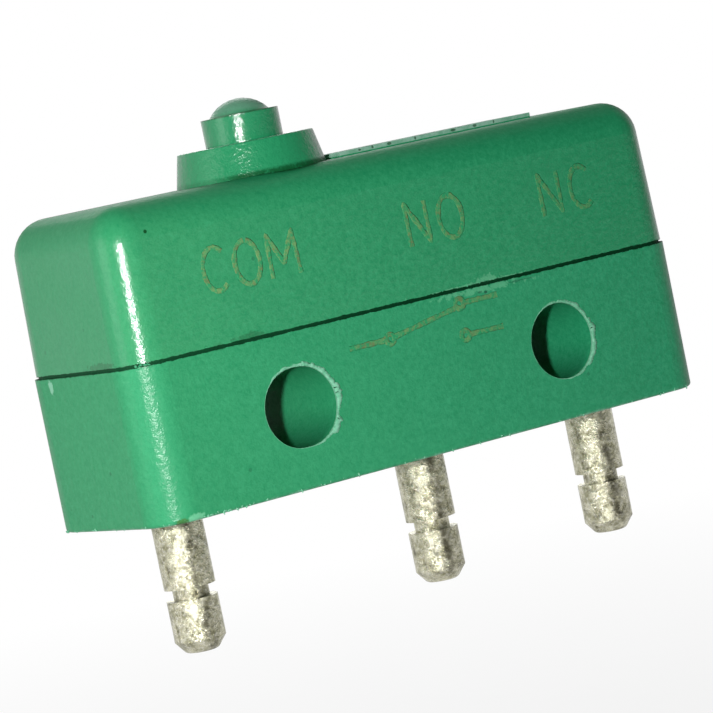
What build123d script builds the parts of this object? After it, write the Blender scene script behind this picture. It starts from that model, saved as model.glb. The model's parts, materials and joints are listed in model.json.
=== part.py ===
from build123d import *
import math
import os

# Subminiature snap action switch with a pin plunger and three turret posts.
# Frame: X along the case with the plunger end at -X, Y across its width, Z up.
# The origin is midway between the two mounting hole axes, at mid width.
# All sizes are in millimetres.

# Case mouldings
case_width = 6.35
case_corner_radius = 1.13
plunger_end_length = 5.19
far_end_length = 5.085
lower_base_height = 2.35
upper_base_height = 2.16
base_bottom_radius = 0.12
cover_height = 4.51
cover_setback = 0.055
cover_draft = 1.0
side_wall = 0.9
end_wall = 0.9
roof_wall = 0.83
cavity_corner_radius = 0.4
seam_height = 0.07
seam_depth = 0.06

# Joint between base and cover
rim_height = 0.5
rim_thickness = 0.5
rim_clearance = 0.05
pocket_depth = 0.46

# Mounting holes
hole_spacing = 9.525
round_hole_diameter = 2.27
long_hole_height = 2.30
long_hole_length = 2.47

# Collar around the plunger, moulded on the cover
plunger_from_hole = 1.98
collar_height = 1.01
collar_top_radius = 2.02
collar_base_radius = 2.23
collar_edge_radius = 0.06

# Raised pad moulded on the cover's top
pad_height = 0.15
pad_length = 7.15
pad_width = 2.4
pad_from_plunger = 5.95

# Plunger
plunger_radius = 1.15
plunger_clearance = 0.04
plunger_stand_out = 0.83
plunger_travel = 0.55
nose_radius = 0.89
nose_height = 0.455
flange_radius = 1.62
flange_thickness = 0.5
flange_play = 0.02
foot_rib_radius = 0.35
foot_rib_length = 3.0
foot_play = 0.03

# Terminal posts, turned
common_from_end = 2.28
normally_open_from_centre = 1.02
normally_closed_from_end = 2.26
post_radius = 0.752
post_length = 4.01
groove_radius = 0.53
groove_from_case = 2.11
groove_width = 0.34
post_tip_radius = 0.47
post_tip_height = 0.36
post_tip_rounding = 0.18
shank_radius = 0.5
stake_radius = 0.66
stake_height = 0.32
fit_clearance = 0.02
cut_overrun = 0.02

# Folded contact brackets, one strip thickness each
strip = 0.4
strip_bend_radius = 0.35
common_width = 1.7
common_upright_from_post = 1.16
pivot_height = 1.98
pivot_from_post = 0.26
pivot_lip_height = 0.30
pivot_groove_depth = 0.12
common_ledge_drop = 1.30
spring_seat_drop = 0.42
spring_seat_depth = 0.10
open_width = 1.7
open_upright_from_post = 1.36
open_foot_overhang = 0.78
open_ledge_reach = 0.80
open_ledge_height = 1.00
closed_width = 2.2
closed_upright_from_post = 1.36
closed_arm_reach = 0.85

# Contact rivets
contact_radius = 0.75
contact_head = 0.30
contact_dome = 0.08
contact_shank_radius = 0.40
contact_tail = 0.10
contact_gap = 0.01

# Snap blade, one piece of spring sheet
blade_thickness = 0.10
blade_rest_angle = 3.0
blade_width = 3.3
blade_leg_width = 0.60
blade_end_bar = 0.42
blade_pad_length = 1.7
tongue_width = 1.0
tongue_bow = 0.60
tongue_play = 0.12
lip_play = 0.02

# Places that follow from the sizes above
left_hole_x = -hole_spacing / 2
right_hole_x = hole_spacing / 2
case_left_x = left_hole_x - plunger_end_length
case_right_x = right_hole_x + far_end_length
case_length = case_right_x - case_left_x
case_centre_x = (case_left_x + case_right_x) / 2
case_bottom_z = -lower_base_height
parting_z = upper_base_height
case_top_z = parting_z + cover_height
roof_z = case_top_z - roof_wall
pocket_floor_z = parting_z - pocket_depth
plunger_x = left_hole_x + plunger_from_hole
collar_top_z = case_top_z + collar_height
plunger_rim_z = collar_top_z + plunger_stand_out
common_x = case_left_x + common_from_end
normally_open_x = normally_open_from_centre
normally_closed_x = case_right_x - normally_closed_from_end
foot_top_z = pocket_floor_z + strip
pocket_inset = cover_setback + end_wall + rim_clearance + rim_thickness
pocket_left_x = case_left_x + pocket_inset
pocket_right_x = case_right_x - pocket_inset

# The blade turns on the bottom of the bracket's pivot groove
pivot_x = common_x - pivot_from_post
pivot_z = parting_z + pivot_height
blade_reach = (normally_open_x - pivot_x) / math.cos(math.radians(blade_rest_angle))
blade_contact_z = pivot_z + blade_reach * math.sin(math.radians(blade_rest_angle))
plunger_arm = plunger_x - pivot_x
blade_swing = math.degrees(plunger_travel / plunger_arm)
contact_half_height = blade_thickness / 2 + contact_head
closed_contact_z = blade_contact_z + contact_half_height + contact_gap
closed_arm_z = closed_contact_z + contact_head
spring_seat_x = pivot_x - pivot_groove_depth + strip
spring_seat_z = pivot_z - spring_seat_drop


def across(sketch, width):
    """Extrude a side view profile to both sides of mid width."""
    return extrude(Plane.XZ * sketch, width / 2, both=True)


def ring_profile(points):
    """Revolve a closed list of radius and height pairs about Z."""
    profile = make_face(Polyline([(r, z) for r, z in points], close=True))
    return revolve(Plane.XZ * profile, Axis.Z)


def case_block(length, width, radius, bottom, height):
    """A block with rounded vertical edges, centred on the case."""
    outline = Pos(case_centre_x, 0, bottom) * RectangleRounded(length, width, radius)
    return extrude(outline, height)


def cavity_block(gap, bottom, height):
    """The space between the cover's inner walls, made smaller by the gap."""
    length = case_length - 2 * cover_setback - 2 * end_wall - 2 * gap
    width = case_width - 2 * cover_setback - 2 * side_wall - 2 * gap
    radius = cavity_corner_radius - min(gap, cavity_corner_radius / 2)
    return case_block(length, width, radius, bottom, height)


def seam_ring(length, width, radius):
    """The shadow gap along the cover's lower edge."""
    around = case_block(length + seam_depth, width + seam_depth, radius, parting_z, seam_height)
    inner_length = length - 2 * seam_depth
    inner_width = width - 2 * seam_depth
    inner = case_block(inner_length, inner_width, radius - seam_depth, parting_z, seam_height)
    return around - inner


def post_bore(x):
    """The hole through the base for one post's shank."""
    height = pocket_floor_z - case_bottom_z
    bore = Cylinder(shank_radius + fit_clearance, height + cut_overrun)
    return Pos(x, 0, case_bottom_z + height / 2) * bore


def make_case_base():
    """Lower moulding: mounting holes, post bores, pocket and register rim."""
    height = parting_z - case_bottom_z
    block = case_block(case_length, case_width, case_corner_radius, case_bottom_z, height)
    bottom_edges = block.edges().group_by(Axis.Z)[0]
    block = fillet(bottom_edges, base_bottom_radius)
    block += cavity_block(rim_clearance, parting_z, rim_height)
    pocket_gap = rim_clearance + rim_thickness
    block -= cavity_block(pocket_gap, pocket_floor_z, pocket_depth + rim_height)
    long_hole = Plane.XZ * SlotOverall(long_hole_length, long_hole_height)
    round_hole = Plane.XZ * Circle(round_hole_diameter / 2)
    block -= Pos(left_hole_x, 0, 0) * extrude(long_hole, case_width, both=True)
    block -= Pos(right_hole_x, 0, 0) * extrude(round_hole, case_width, both=True)
    for x in (common_x, normally_open_x, normally_closed_x):
        block -= post_bore(x)
    return block


def make_case_cover():
    """Upper moulding: drafted shell with the plunger collar and the pad."""
    length = case_length - 2 * cover_setback
    width = case_width - 2 * cover_setback
    radius = case_corner_radius - cover_setback
    shell = extrude(Rectangle(length, width), cover_height, taper=cover_draft)
    rounded_edges = shell.edges().group_by(Axis.Z)[1:]
    shell = fillet([edge for group in rounded_edges for edge in group], radius)
    shell = Pos(case_centre_x, 0, parting_z) * shell
    shell += make_collar()
    shell += make_pad()
    shell -= seam_ring(length, width, radius)
    shell -= cavity_block(0, parting_z, roof_z - parting_z)
    bore_height = collar_top_z - roof_z
    bore = Cylinder(plunger_radius + plunger_clearance, bore_height + cut_overrun)
    shell -= Pos(plunger_x, 0, roof_z + bore_height / 2) * bore
    return shell


def make_collar():
    """The tapered collar that guides the plunger, sunk into the roof."""
    sunk = roof_wall / 2
    slope = (collar_base_radius - collar_top_radius) / collar_height
    foot_radius = collar_base_radius + slope * sunk
    collar = Cone(foot_radius, collar_top_radius, collar_height + sunk)
    top_edge = collar.edges().group_by(Axis.Z)[-1]
    collar = fillet(top_edge, collar_edge_radius)
    return Pos(plunger_x, 0, collar_top_z - (collar_height + sunk) / 2) * collar


def make_pad():
    """The low pad on the cover's top, beside the collar."""
    centre_x = plunger_x + pad_from_plunger
    sunk = roof_wall / 2
    pad = Box(pad_length, pad_width, pad_height + sunk)
    return Pos(centre_x, 0, case_top_z + (pad_height - sunk) / 2) * pad


def foot_rib_bottom():
    """Height of the plunger's rib that just clears the blade at rest."""
    tilt = math.radians(blade_rest_angle)
    reach = blade_thickness / 2 + foot_rib_radius + foot_play
    centre = pivot_z + plunger_arm * math.tan(tilt) + reach / math.cos(tilt)
    return centre - foot_rib_radius


def make_plunger():
    """Button, domed nose, retaining flange and the rib that bears on the blade."""
    flange_top = roof_z - flange_play
    flange_bottom = flange_top - flange_thickness
    stem = ring_profile(
        [
            (0, flange_bottom),
            (flange_radius, flange_bottom),
            (flange_radius, flange_top),
            (plunger_radius, flange_top),
            (plunger_radius, plunger_rim_z),
            (0, plunger_rim_z),
        ]
    )
    ball = (nose_radius**2 + nose_height**2) / (2 * nose_height)
    nose = Pos(0, 0, plunger_rim_z + nose_height - ball) * Sphere(ball)
    above_rim = Pos(0, 0, plunger_rim_z + nose_height / 2)
    stem += nose & above_rim * Box(4 * ball, 4 * ball, nose_height)
    rib_axis_z = foot_rib_bottom() + foot_rib_radius
    rib_height = flange_bottom - rib_axis_z
    rib = Pos(0, 0, rib_axis_z) * Rot(90, 0, 0) * Cylinder(foot_rib_radius, foot_rib_length)
    rib += Pos(0, 0, rib_axis_z + rib_height / 2) * Box(2 * foot_rib_radius, foot_rib_length, rib_height)
    rounded = Pos(0, 0, rib_axis_z) * Cylinder(flange_radius, 4 * flange_radius)
    stem += rib & rounded
    return Pos(plunger_x, 0, 0) * stem


def make_post(x):
    """One turned turret post, staked over the foot of its bracket."""
    tip_z = case_bottom_z - post_length
    groove_top = case_bottom_z - groove_from_case
    groove_bottom = groove_top - groove_width
    stake_top = foot_top_z + stake_height
    post = ring_profile(
        [
            (0, tip_z),
            (post_tip_radius, tip_z),
            (post_radius, tip_z + post_tip_height),
            (post_radius, groove_bottom),
            (groove_radius, groove_bottom),
            (groove_radius, groove_top),
            (post_radius, groove_top),
            (post_radius, case_bottom_z),
            (shank_radius, case_bottom_z),
            (shank_radius, foot_top_z),
            (stake_radius, foot_top_z),
            (0.7 * stake_radius, stake_top),
            (0, stake_top),
        ]
    )
    tip_ring = post.edges().filter_by(GeomType.CIRCLE).group_by(Axis.Z)[0]
    post = fillet(tip_ring, post_tip_rounding)
    return Pos(x, 0, 0) * post


def folded_strip(points, width):
    """Bend a strip along a path given on its centre line."""
    path = FilletPolyline(*points, radius=strip_bend_radius)
    return across(trace(path, strip), width)


def shank_hole(x):
    """The hole in a bracket's foot for a post's shank."""
    return Pos(x, 0, pocket_floor_z + strip / 2) * Cylinder(shank_radius + fit_clearance, 2 * strip)


def contact_hole(x, z):
    """The hole in a strip for a contact rivet's shank."""
    return Pos(x, 0, z) * Cylinder(contact_shank_radius + fit_clearance, 2 * strip)


def make_common_bracket():
    """Folded strip with the blade's pivot groove and the spring's seat."""
    foot_z = pocket_floor_z + strip / 2
    ledge_z = pivot_z - common_ledge_drop
    upright_x = common_x + common_upright_from_post + strip / 2
    lip_x = pivot_x + strip / 2 - pivot_groove_depth
    bracket = folded_strip(
        [
            (pocket_left_x + fit_clearance, foot_z),
            (upright_x, foot_z),
            (upright_x, ledge_z),
            (lip_x, ledge_z),
            (lip_x, pivot_z + pivot_lip_height),
        ],
        common_width,
    )
    bracket -= shank_hole(common_x)
    groove = Polyline(
        (pivot_x, pivot_z),
        (pivot_x - 2 * pivot_groove_depth, pivot_z + 2 * pivot_groove_depth),
        (pivot_x - 2 * pivot_groove_depth, pivot_z - 2 * pivot_groove_depth),
        close=True,
    )
    bracket -= across(make_face(groove), 2 * common_width)
    seat = Polyline(
        (spring_seat_x - spring_seat_depth, spring_seat_z),
        (spring_seat_x + spring_seat_depth, spring_seat_z + 2 * spring_seat_depth),
        (spring_seat_x + spring_seat_depth, spring_seat_z - 2 * spring_seat_depth),
        close=True,
    )
    bracket -= across(make_face(seat), 2 * common_width)
    return bracket


def open_ledge_z():
    """Centre height of the strip under the normally open contact."""
    return foot_top_z + open_ledge_height - strip / 2


def make_open_bracket():
    """Folded strip that holds the normally open contact above its post."""
    foot_z = pocket_floor_z + strip / 2
    upright_x = normally_open_x + open_upright_from_post
    bracket = folded_strip(
        [
            (normally_open_x - open_foot_overhang, foot_z),
            (upright_x, foot_z),
            (upright_x, open_ledge_z()),
            (normally_open_x - open_ledge_reach, open_ledge_z()),
        ],
        open_width,
    )
    bracket -= shank_hole(normally_open_x)
    bracket -= contact_hole(normally_open_x, open_ledge_z())
    return bracket


def make_closed_bracket():
    """Folded strip that reaches over the blade with the normally closed contact."""
    foot_z = pocket_floor_z + strip / 2
    arm_z = closed_arm_z + strip / 2
    upright_x = normally_closed_x - closed_upright_from_post
    bracket = folded_strip(
        [
            (pocket_right_x - fit_clearance, foot_z),
            (upright_x, foot_z),
            (upright_x, arm_z),
            (normally_open_x - closed_arm_reach, arm_z),
        ],
        closed_width,
    )
    bracket -= shank_hole(normally_closed_x)
    bracket -= contact_hole(normally_open_x, arm_z)
    return bracket


def contact_rivet(thickness, head):
    """A contact rivet: domed head up, shank down through a strip, closed tail."""
    profile = [
        (0, -thickness - contact_tail),
        (contact_shank_radius + contact_tail, -thickness - contact_tail),
        (contact_shank_radius + contact_tail, -thickness),
        (contact_shank_radius, -thickness),
        (contact_shank_radius, 0),
        (contact_radius, 0),
        (contact_radius, head - contact_dome),
        (0, head),
    ]
    return ring_profile(profile)


def open_contact_top():
    """Height that the moving contact reaches at full travel, less the gap."""
    tilt = math.radians(blade_rest_angle - blade_swing)
    drop = contact_half_height * math.cos(tilt)
    return pivot_z + blade_reach * math.sin(tilt) - drop - contact_gap


def make_open_contact():
    """Fixed contact of the normally open side, domed head up."""
    seat_z = open_ledge_z() + strip / 2
    rivet = contact_rivet(strip, open_contact_top() - seat_z)
    return Pos(normally_open_x, 0, seat_z) * rivet


def make_closed_contact():
    """Fixed contact of the normally closed side, domed head down."""
    rivet = Rot(180, 0, 0) * contact_rivet(strip, contact_head)
    return Pos(normally_open_x, 0, closed_arm_z) * rivet


def blade_place():
    """Place of the blade's own frame: its pivot edge, tilted as at rest."""
    return Pos(pivot_x, 0, pivot_z) * Rot(0, -blade_rest_angle, 0)


def make_moving_contact():
    """Double headed contact riveted through the blade's pad."""
    half = blade_thickness / 2
    rim = contact_half_height - contact_dome
    rivet = ring_profile(
        [
            (0, -contact_half_height),
            (contact_radius, -rim),
            (contact_radius, -half),
            (contact_shank_radius, -half),
            (contact_shank_radius, half),
            (contact_radius, half),
            (contact_radius, rim),
            (0, contact_half_height),
        ]
    )
    return blade_place() * Pos(blade_reach, 0, 0) * rivet


def tongue_end():
    """Free end of the spring tongue, in the blade's own frame."""
    tilt = math.radians(blade_rest_angle)
    seat_bottom_x = spring_seat_x - spring_seat_depth
    dx = seat_bottom_x + blade_thickness / 2 + tongue_play - pivot_x
    dz = spring_seat_z - pivot_z
    along = dx * math.cos(tilt) + dz * math.sin(tilt)
    up = dz * math.cos(tilt) - dx * math.sin(tilt)
    return along, up


def make_snap_blade():
    """Spring frame hooked on the pivot lip, with a bowed tongue from its pad."""
    pad_start = blade_reach - blade_pad_length / 2
    bar_edge = -blade_thickness / 2 - lip_play
    total = blade_end_bar - bar_edge + pad_start + blade_pad_length
    middle_x = bar_edge - blade_end_bar + total / 2
    frame = Pos(middle_x, 0, 0) * Box(total, blade_width, blade_thickness)
    window_length = pad_start - bar_edge
    window_width = blade_width - 2 * blade_leg_width
    window = Box(window_length, window_width, 2 * blade_thickness)
    frame -= Pos(bar_edge + window_length / 2, 0, 0) * window
    end_x, end_z = tongue_end()
    root = (pad_start + blade_thickness / 2, 0)
    middle = ((pad_start + end_x) / 2, end_z / 2 - tongue_bow)
    bow = ThreePointArc(root, middle, (end_x, end_z))
    tongue = across(trace(bow, blade_thickness), tongue_width)
    blade = frame + tongue
    hole = Cylinder(contact_shank_radius + fit_clearance, 2 * blade_thickness)
    blade -= Pos(blade_reach, 0, 0) * hole
    return blade_place() * blade


nodes = {
    "case_base": make_case_base,
    "case_cover": make_case_cover,
    "plunger": make_plunger,
    "common_terminal": lambda: make_post(common_x),
    "normally_open_terminal": lambda: make_post(normally_open_x),
    "normally_closed_terminal": lambda: make_post(normally_closed_x),
    "common_bracket": make_common_bracket,
    "normally_open_bracket": make_open_bracket,
    "normally_closed_bracket": make_closed_bracket,
    "normally_open_contact": make_open_contact,
    "normally_closed_contact": make_closed_contact,
    "snap_blade": make_snap_blade,
    "moving_contact": make_moving_contact,
}

os.makedirs("parts", exist_ok=True)
for name, make in nodes.items():
    export_step(make(), "parts/" + name + ".step")

print("plunger travel", plunger_travel, "blade swing", round(blade_swing, 4))
print("blade pivot", round(pivot_x, 4), round(pivot_z, 4))
print("blade pivot ratio, rad per m", round(1000 / plunger_arm, 3))
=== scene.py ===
import json
import math

import bpy
from mathutils import Matrix, Vector


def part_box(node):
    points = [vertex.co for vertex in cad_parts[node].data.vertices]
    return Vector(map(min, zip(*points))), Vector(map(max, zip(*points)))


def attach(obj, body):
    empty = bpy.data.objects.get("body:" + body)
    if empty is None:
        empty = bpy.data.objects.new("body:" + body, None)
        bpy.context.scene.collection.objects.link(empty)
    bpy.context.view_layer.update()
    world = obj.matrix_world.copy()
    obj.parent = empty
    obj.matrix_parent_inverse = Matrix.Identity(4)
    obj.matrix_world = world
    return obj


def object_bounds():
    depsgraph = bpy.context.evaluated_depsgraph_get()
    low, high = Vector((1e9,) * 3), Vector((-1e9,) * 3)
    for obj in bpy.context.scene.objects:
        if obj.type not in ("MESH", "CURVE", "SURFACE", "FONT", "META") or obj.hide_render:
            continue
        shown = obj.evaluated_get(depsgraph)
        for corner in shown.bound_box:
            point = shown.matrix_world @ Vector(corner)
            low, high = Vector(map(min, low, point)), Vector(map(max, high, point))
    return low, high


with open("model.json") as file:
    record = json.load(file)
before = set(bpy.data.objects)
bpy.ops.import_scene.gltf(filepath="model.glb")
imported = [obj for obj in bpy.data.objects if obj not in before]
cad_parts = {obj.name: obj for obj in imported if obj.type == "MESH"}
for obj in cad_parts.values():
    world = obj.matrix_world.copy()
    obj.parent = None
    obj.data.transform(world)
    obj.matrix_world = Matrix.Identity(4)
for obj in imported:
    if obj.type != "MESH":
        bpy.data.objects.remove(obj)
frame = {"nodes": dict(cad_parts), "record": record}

# Snap action switch: green mouldings, pin plunger and three tinned posts.
# Everything is in metres on the CAD frame; patterns are worked out in millimetres.

mm = 0.001
scene = bpy.context.scene
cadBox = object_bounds()
mounts = {mount["name"]: mount for mount in frame["record"]["mounts"]}
baseLow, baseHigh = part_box("case_base")
coverLow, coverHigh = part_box("case_cover")
plungerLow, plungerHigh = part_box("plunger")

# heights in mm of the groove at the parting line and of the collar
seamHeight = 0.07
collarHeight = 1.01
seamMiddle = coverLow.z / mm + seamHeight / 2
bottomZ = baseLow.z / mm
coverTop = coverHigh.z / mm - collarHeight
plungerTop = plungerHigh.z / mm
frontY = baseLow.y / mm
halfWidth = -frontY
caseMiddleX = (baseLow.x + baseHigh.x) / 2 / mm
caseHalfLength = (baseHigh.x - baseLow.x) / 2 / mm
caseLeftX = caseMiddleX - caseHalfLength
plungerX = (plungerLow.x + plungerHigh.x) / 2 / mm
print("frame loaded, parting line at", round(seamMiddle, 3), "mm")

# sizes in mm; both holes run along Y, and the long one has a short straight between two half circles
holes = {
    "long_hole": {"radius": 1.15, "halfSlot": 0.085},
    "round_hole": {"radius": 1.135, "halfSlot": 0.0},
}


def fillInputs(tree, node, inputs):
    for key, value in inputs.items():
        if isinstance(value, bpy.types.NodeSocket):
            tree.links.new(value, node.inputs[key])
        else:
            node.inputs[key].default_value = value


def addNode(tree, kind, inputs=None, **settings):
    node = tree.nodes.new(kind)
    for name, value in settings.items():
        setattr(node, name, value)
    fillInputs(tree, node, inputs or {})
    return node


def firstOf(tree, kind, inputs=None, **settings):
    return addNode(tree, kind, inputs, **settings).outputs[0]


def calc(tree, operation, *values, clamp=False):
    return firstOf(tree, "ShaderNodeMath", dict(enumerate(values)), operation=operation, use_clamp=clamp)


def plus(tree, first, second):
    return calc(tree, "ADD", first, second)


def minus(tree, first, second, clamp=False):
    return calc(tree, "SUBTRACT", first, second, clamp=clamp)


def times(tree, first, second, clamp=False):
    return calc(tree, "MULTIPLY", first, second, clamp=clamp)


def over(tree, first, second):
    return calc(tree, "DIVIDE", first, second)


def absolute(tree, value):
    return calc(tree, "ABSOLUTE", value)


def vecCalc(tree, operation, *values):
    node = addNode(tree, "ShaderNodeVectorMath", dict(enumerate(values)), operation=operation)
    return node.outputs["Value" if operation == "LENGTH" else "Vector"]


def scaled(tree, value, factor):
    return firstOf(tree, "ShaderNodeVectorMath", {0: value, "Scale": factor}, operation="SCALE")


def split(tree, value):
    return addNode(tree, "ShaderNodeSeparateXYZ", {0: value}).outputs


def join(tree, x, y, z):
    return firstOf(tree, "ShaderNodeCombineXYZ", {0: x, 1: y, 2: z})


def spread(tree, value, low, high, newLow=0.0, newHigh=1.0):
    inputs = {"Value": value, "From Min": low, "From Max": high, "To Min": newLow, "To Max": newHigh}
    return firstOf(tree, "ShaderNodeMapRange", inputs, clamp=True)


def noise(tree, position, scale, detail=3.0, rough=0.55):
    inputs = {"Vector": position, "Scale": scale, "Detail": detail, "Roughness": rough}
    return firstOf(tree, "ShaderNodeTexNoise", inputs)


def hump(tree, value, centre, width):
    # 1 at the centre, falling to nothing about two widths away
    away = over(tree, minus(tree, value, centre), width)
    return calc(tree, "EXPONENT", times(tree, times(tree, away, away), -1.0))


def blendColour(tree, factor, first, second):
    node = addNode(tree, "ShaderNodeMix", data_type="RGBA")
    places = {socket.identifier: index for index, socket in enumerate(node.inputs)}
    values = {"Factor_Float": factor, "A_Color": first, "B_Color": second}
    fillInputs(tree, node, {places[name]: value for name, value in values.items()})
    return next(socket for socket in node.outputs if socket.identifier == "Result_Color")


number, vector, whole = "NodeSocketFloat", "NodeSocketVector", "NodeSocketInt"
geometry, finishKind, thing = "NodeSocketGeometry", "NodeSocketMaterial", "NodeSocketObject"


def newGroup(name, inputs, outputs):
    tree = bpy.data.node_groups.new(name, "ShaderNodeTree")
    for socketName, kind, value in inputs:
        tree.interface.new_socket(socketName, in_out="INPUT", socket_type=kind).default_value = value
    for socketName in outputs:
        tree.interface.new_socket(socketName, in_out="OUTPUT", socket_type=number)
    return tree, tree.nodes.new("NodeGroupInput").outputs, tree.nodes.new("NodeGroupOutput").inputs


def useGroup(tree, group, inputs):
    return addNode(tree, "ShaderNodeGroup", inputs, node_tree=group).outputs


def makeGrainGroup():
    # fine grain, a slower tone and a slow mottle for the colour; lumps about zero for the bump
    tree, given, out = newGroup("fine grain", [
        ("Position", vector, (0, 0, 0)), ("Grain Scale", number, 14.0), ("Mottle Scale", number, 0.5),
        ("Lumpy", number, 0.5),
    ], ["Lumps", "Grain", "Tone", "Mottle"])
    position, scale = given["Position"], given["Grain Scale"]
    coarse = noise(tree, position, scale, 2.0, 0.6)
    fine = noise(tree, position, times(tree, scale, 2.7), 2.0, 0.6)
    both = plus(tree, times(tree, coarse, 0.6), times(tree, fine, 0.4))
    shifted = vecCalc(tree, "ADD", position, (7.3, 1.9, 4.1))
    smooth = minus(tree, noise(tree, shifted, scale, 0.6, 0.4), 0.5)
    lumps = plus(tree, minus(tree, both, 0.5), times(tree, smooth, given["Lumpy"]))
    tree.links.new(lumps, out["Lumps"])
    tree.links.new(both, out["Grain"])
    tree.links.new(noise(tree, shifted, times(tree, scale, 0.42), 3.0, 0.65), out["Tone"])
    tree.links.new(noise(tree, position, given["Mottle Scale"], 4.0, 0.55), out["Mottle"])
    return tree


def makeSpeckGroup():
    # scattered round specks, one in a share of the cells
    tree, given, out = newGroup("specks", [
        ("Position", vector, (0, 0, 0)), ("Cells", number, 1.0), ("Size", number, 0.06),
        ("Share", number, 0.3),
    ], ["Mask"])
    cells = addNode(tree, "ShaderNodeTexVoronoi", {"Vector": given["Position"], "Scale": given["Cells"]})
    picks = addNode(tree, "ShaderNodeSeparateColor", {0: cells.outputs["Color"]}).outputs
    reach = times(tree, times(tree, given["Size"], given["Cells"]), plus(tree, picks[1], 0.4))
    dot = minus(tree, 1.0, over(tree, cells.outputs["Distance"], reach), clamp=True)
    dot = times(tree, dot, 3.0, clamp=True)
    chosen = calc(tree, "LESS_THAN", picks[0], given["Share"])
    tree.links.new(times(tree, dot, chosen), out["Mask"])
    return tree


def makePatchGroup():
    # one ragged patch with a centre and half sizes
    tree, given, out = newGroup("ragged patch", [
        ("Position", vector, (0, 0, 0)), ("Centre", vector, (0, 0, 0)), ("Half Size", vector, (1, 1, 1)),
        ("Ragged", number, 0.8), ("Ragged Scale", number, 8.0),
    ], ["Mask"])
    offset = vecCalc(tree, "SUBTRACT", given["Position"], given["Centre"])
    reach = vecCalc(tree, "LENGTH", vecCalc(tree, "DIVIDE", offset, given["Half Size"]))
    wobble = minus(tree, noise(tree, given["Position"], given["Ragged Scale"], 3.0), 0.5)
    reach = plus(tree, reach, times(tree, wobble, given["Ragged"]))
    tree.links.new(spread(tree, reach, 0.7, 1.0, 1.0, 0.0), out["Mask"])
    return tree


def makeCornerGroup():
    # the rounded upright corners of the case, strongest in the middle of the rounding
    tree, given, out = newGroup("upright corner", [
        ("Position", vector, (0, 0, 0)), ("Middle X", number, 0.0), ("Half Length", number, 9.9),
        ("Half Width", number, 3.175), ("Rounding", number, 1.13),
    ], ["Mask"])
    part = split(tree, given["Position"])
    fromEnd = minus(tree, given["Half Length"], absolute(tree, minus(tree, part[0], given["Middle X"])))
    fromSide = minus(tree, given["Half Width"], absolute(tree, part[1]))
    deeper = over(tree, calc(tree, "MAXIMUM", fromEnd, fromSide), given["Rounding"])
    tree.links.new(spread(tree, deeper, 0.32, 1.0, 1.0, 0.0), out["Mask"])
    return tree


def makeRimGroup():
    # frayed band round a hole that runs along Y, heavier towards one side, and the bore itself
    tree, given, out = newGroup("hole fray", [
        ("Position", vector, (0, 0, 0)), ("Hole X", number, 0.0), ("Half Slot", number, 0.0),
        ("Radius", number, 1.15), ("Width", number, 0.12), ("Half Width", number, 3.175),
    ], ["Mask", "Bore"])
    part = split(tree, given["Position"])
    across = minus(tree, part[0], given["Hole X"])
    pastSlot = calc(tree, "MAXIMUM", minus(tree, absolute(tree, across), given["Half Slot"]), 0.0)
    squares = plus(tree, times(tree, pastSlot, pastSlot), times(tree, part[2], part[2]))
    beyond = minus(tree, calc(tree, "SQRT", squares), given["Radius"])
    lean = over(tree, plus(tree, across, times(tree, part[2], 0.55)), given["Radius"])
    side = spread(tree, lean, -0.85, 0.9)
    ragged = spread(tree, noise(tree, given["Position"], 4.5, 4.0, 0.7), 0.38, 0.66, 0.15, 1.3)
    width = plus(tree, times(tree, times(tree, given["Width"], side), ragged), 0.004)
    mask = minus(tree, 1.0, over(tree, absolute(tree, beyond), width), clamp=True)
    mask = times(tree, mask, spread(tree, times(tree, side, ragged), 0.05, 0.35))
    depth = minus(tree, given["Half Width"], absolute(tree, part[1]))
    mask = times(tree, mask, spread(tree, depth, 0.01, 0.06, 1.0, 0.0))
    tree.links.new(times(tree, mask, 2.5, clamp=True), out["Mask"])
    inside = times(tree, spread(tree, beyond, 0.01, 0.03, 1.0, 0.0), spread(tree, depth, 0.03, 0.3))
    tree.links.new(inside, out["Bore"])
    return tree


grainGroup = makeGrainGroup()
speckGroup = makeSpeckGroup()
patchGroup = makePatchGroup()
cornerGroup = makeCornerGroup()
rimGroup = makeRimGroup()
print("surface effects built")


mouldColours = {
    "green": (0.017, 0.325, 0.132, 1),
    # two greyer greens for the painted sheen towards the left end
    "paleSheenGreen": (0.043, 0.335, 0.137, 1),
    "warmSheenGreen": (0.052, 0.335, 0.135, 1),
    "deepGreen": (0.012, 0.262, 0.104, 1),
    "coolGreen": (0.026, 0.325, 0.156, 1),
    "cornerGreen": (0.060, 0.450, 0.220, 1),
    "wornGreen": (0.290, 0.520, 0.400, 1),
    "brokenEdge": (0.26, 0.60, 0.41, 1),
    "softEdge": (0.09, 0.42, 0.22, 1),
    "grimeAndShade": (0.002, 0.060, 0.012, 1),
    "seamShade": (0.001, 0.032, 0.010, 1),
    "paleGreenAndHighlight": (0.15, 0.53, 0.29, 1),
    "olive": (0.050, 0.170, 0.030, 1),
    "speckAndShade": (0.008, 0.090, 0.045, 1),
}

# gloss is the weight of the thin shiny skin that a moulding has, skin its roughness
mouldFinish = {
    "base": {"grain": 8.0, "grainy": 0.85, "lumpy": 0.60, "mottle": 0.35, "bump": 0.29,
             "gloss": 0.45, "skin": 0.27, "cool": 0.75, "corner": 0.22, "leftSheen": "paleSheenGreen"},
    "cover": {"grain": 7.0, "grainy": 1.70, "lumpy": 0.45, "mottle": 0.35, "bump": 0.23,
              "gloss": 0.80, "skin": 0.21, "cool": 0.15, "corner": 0.04, "leftSheen": "warmSheenGreen"},
    "plunger": {"grain": 8.0, "grainy": 1.00, "lumpy": 0.40, "mottle": 0.60, "bump": 0.36,
                "gloss": 1.00, "skin": 0.14, "cool": 0.15, "leftSheen": "warmSheenGreen"},
}
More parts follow.
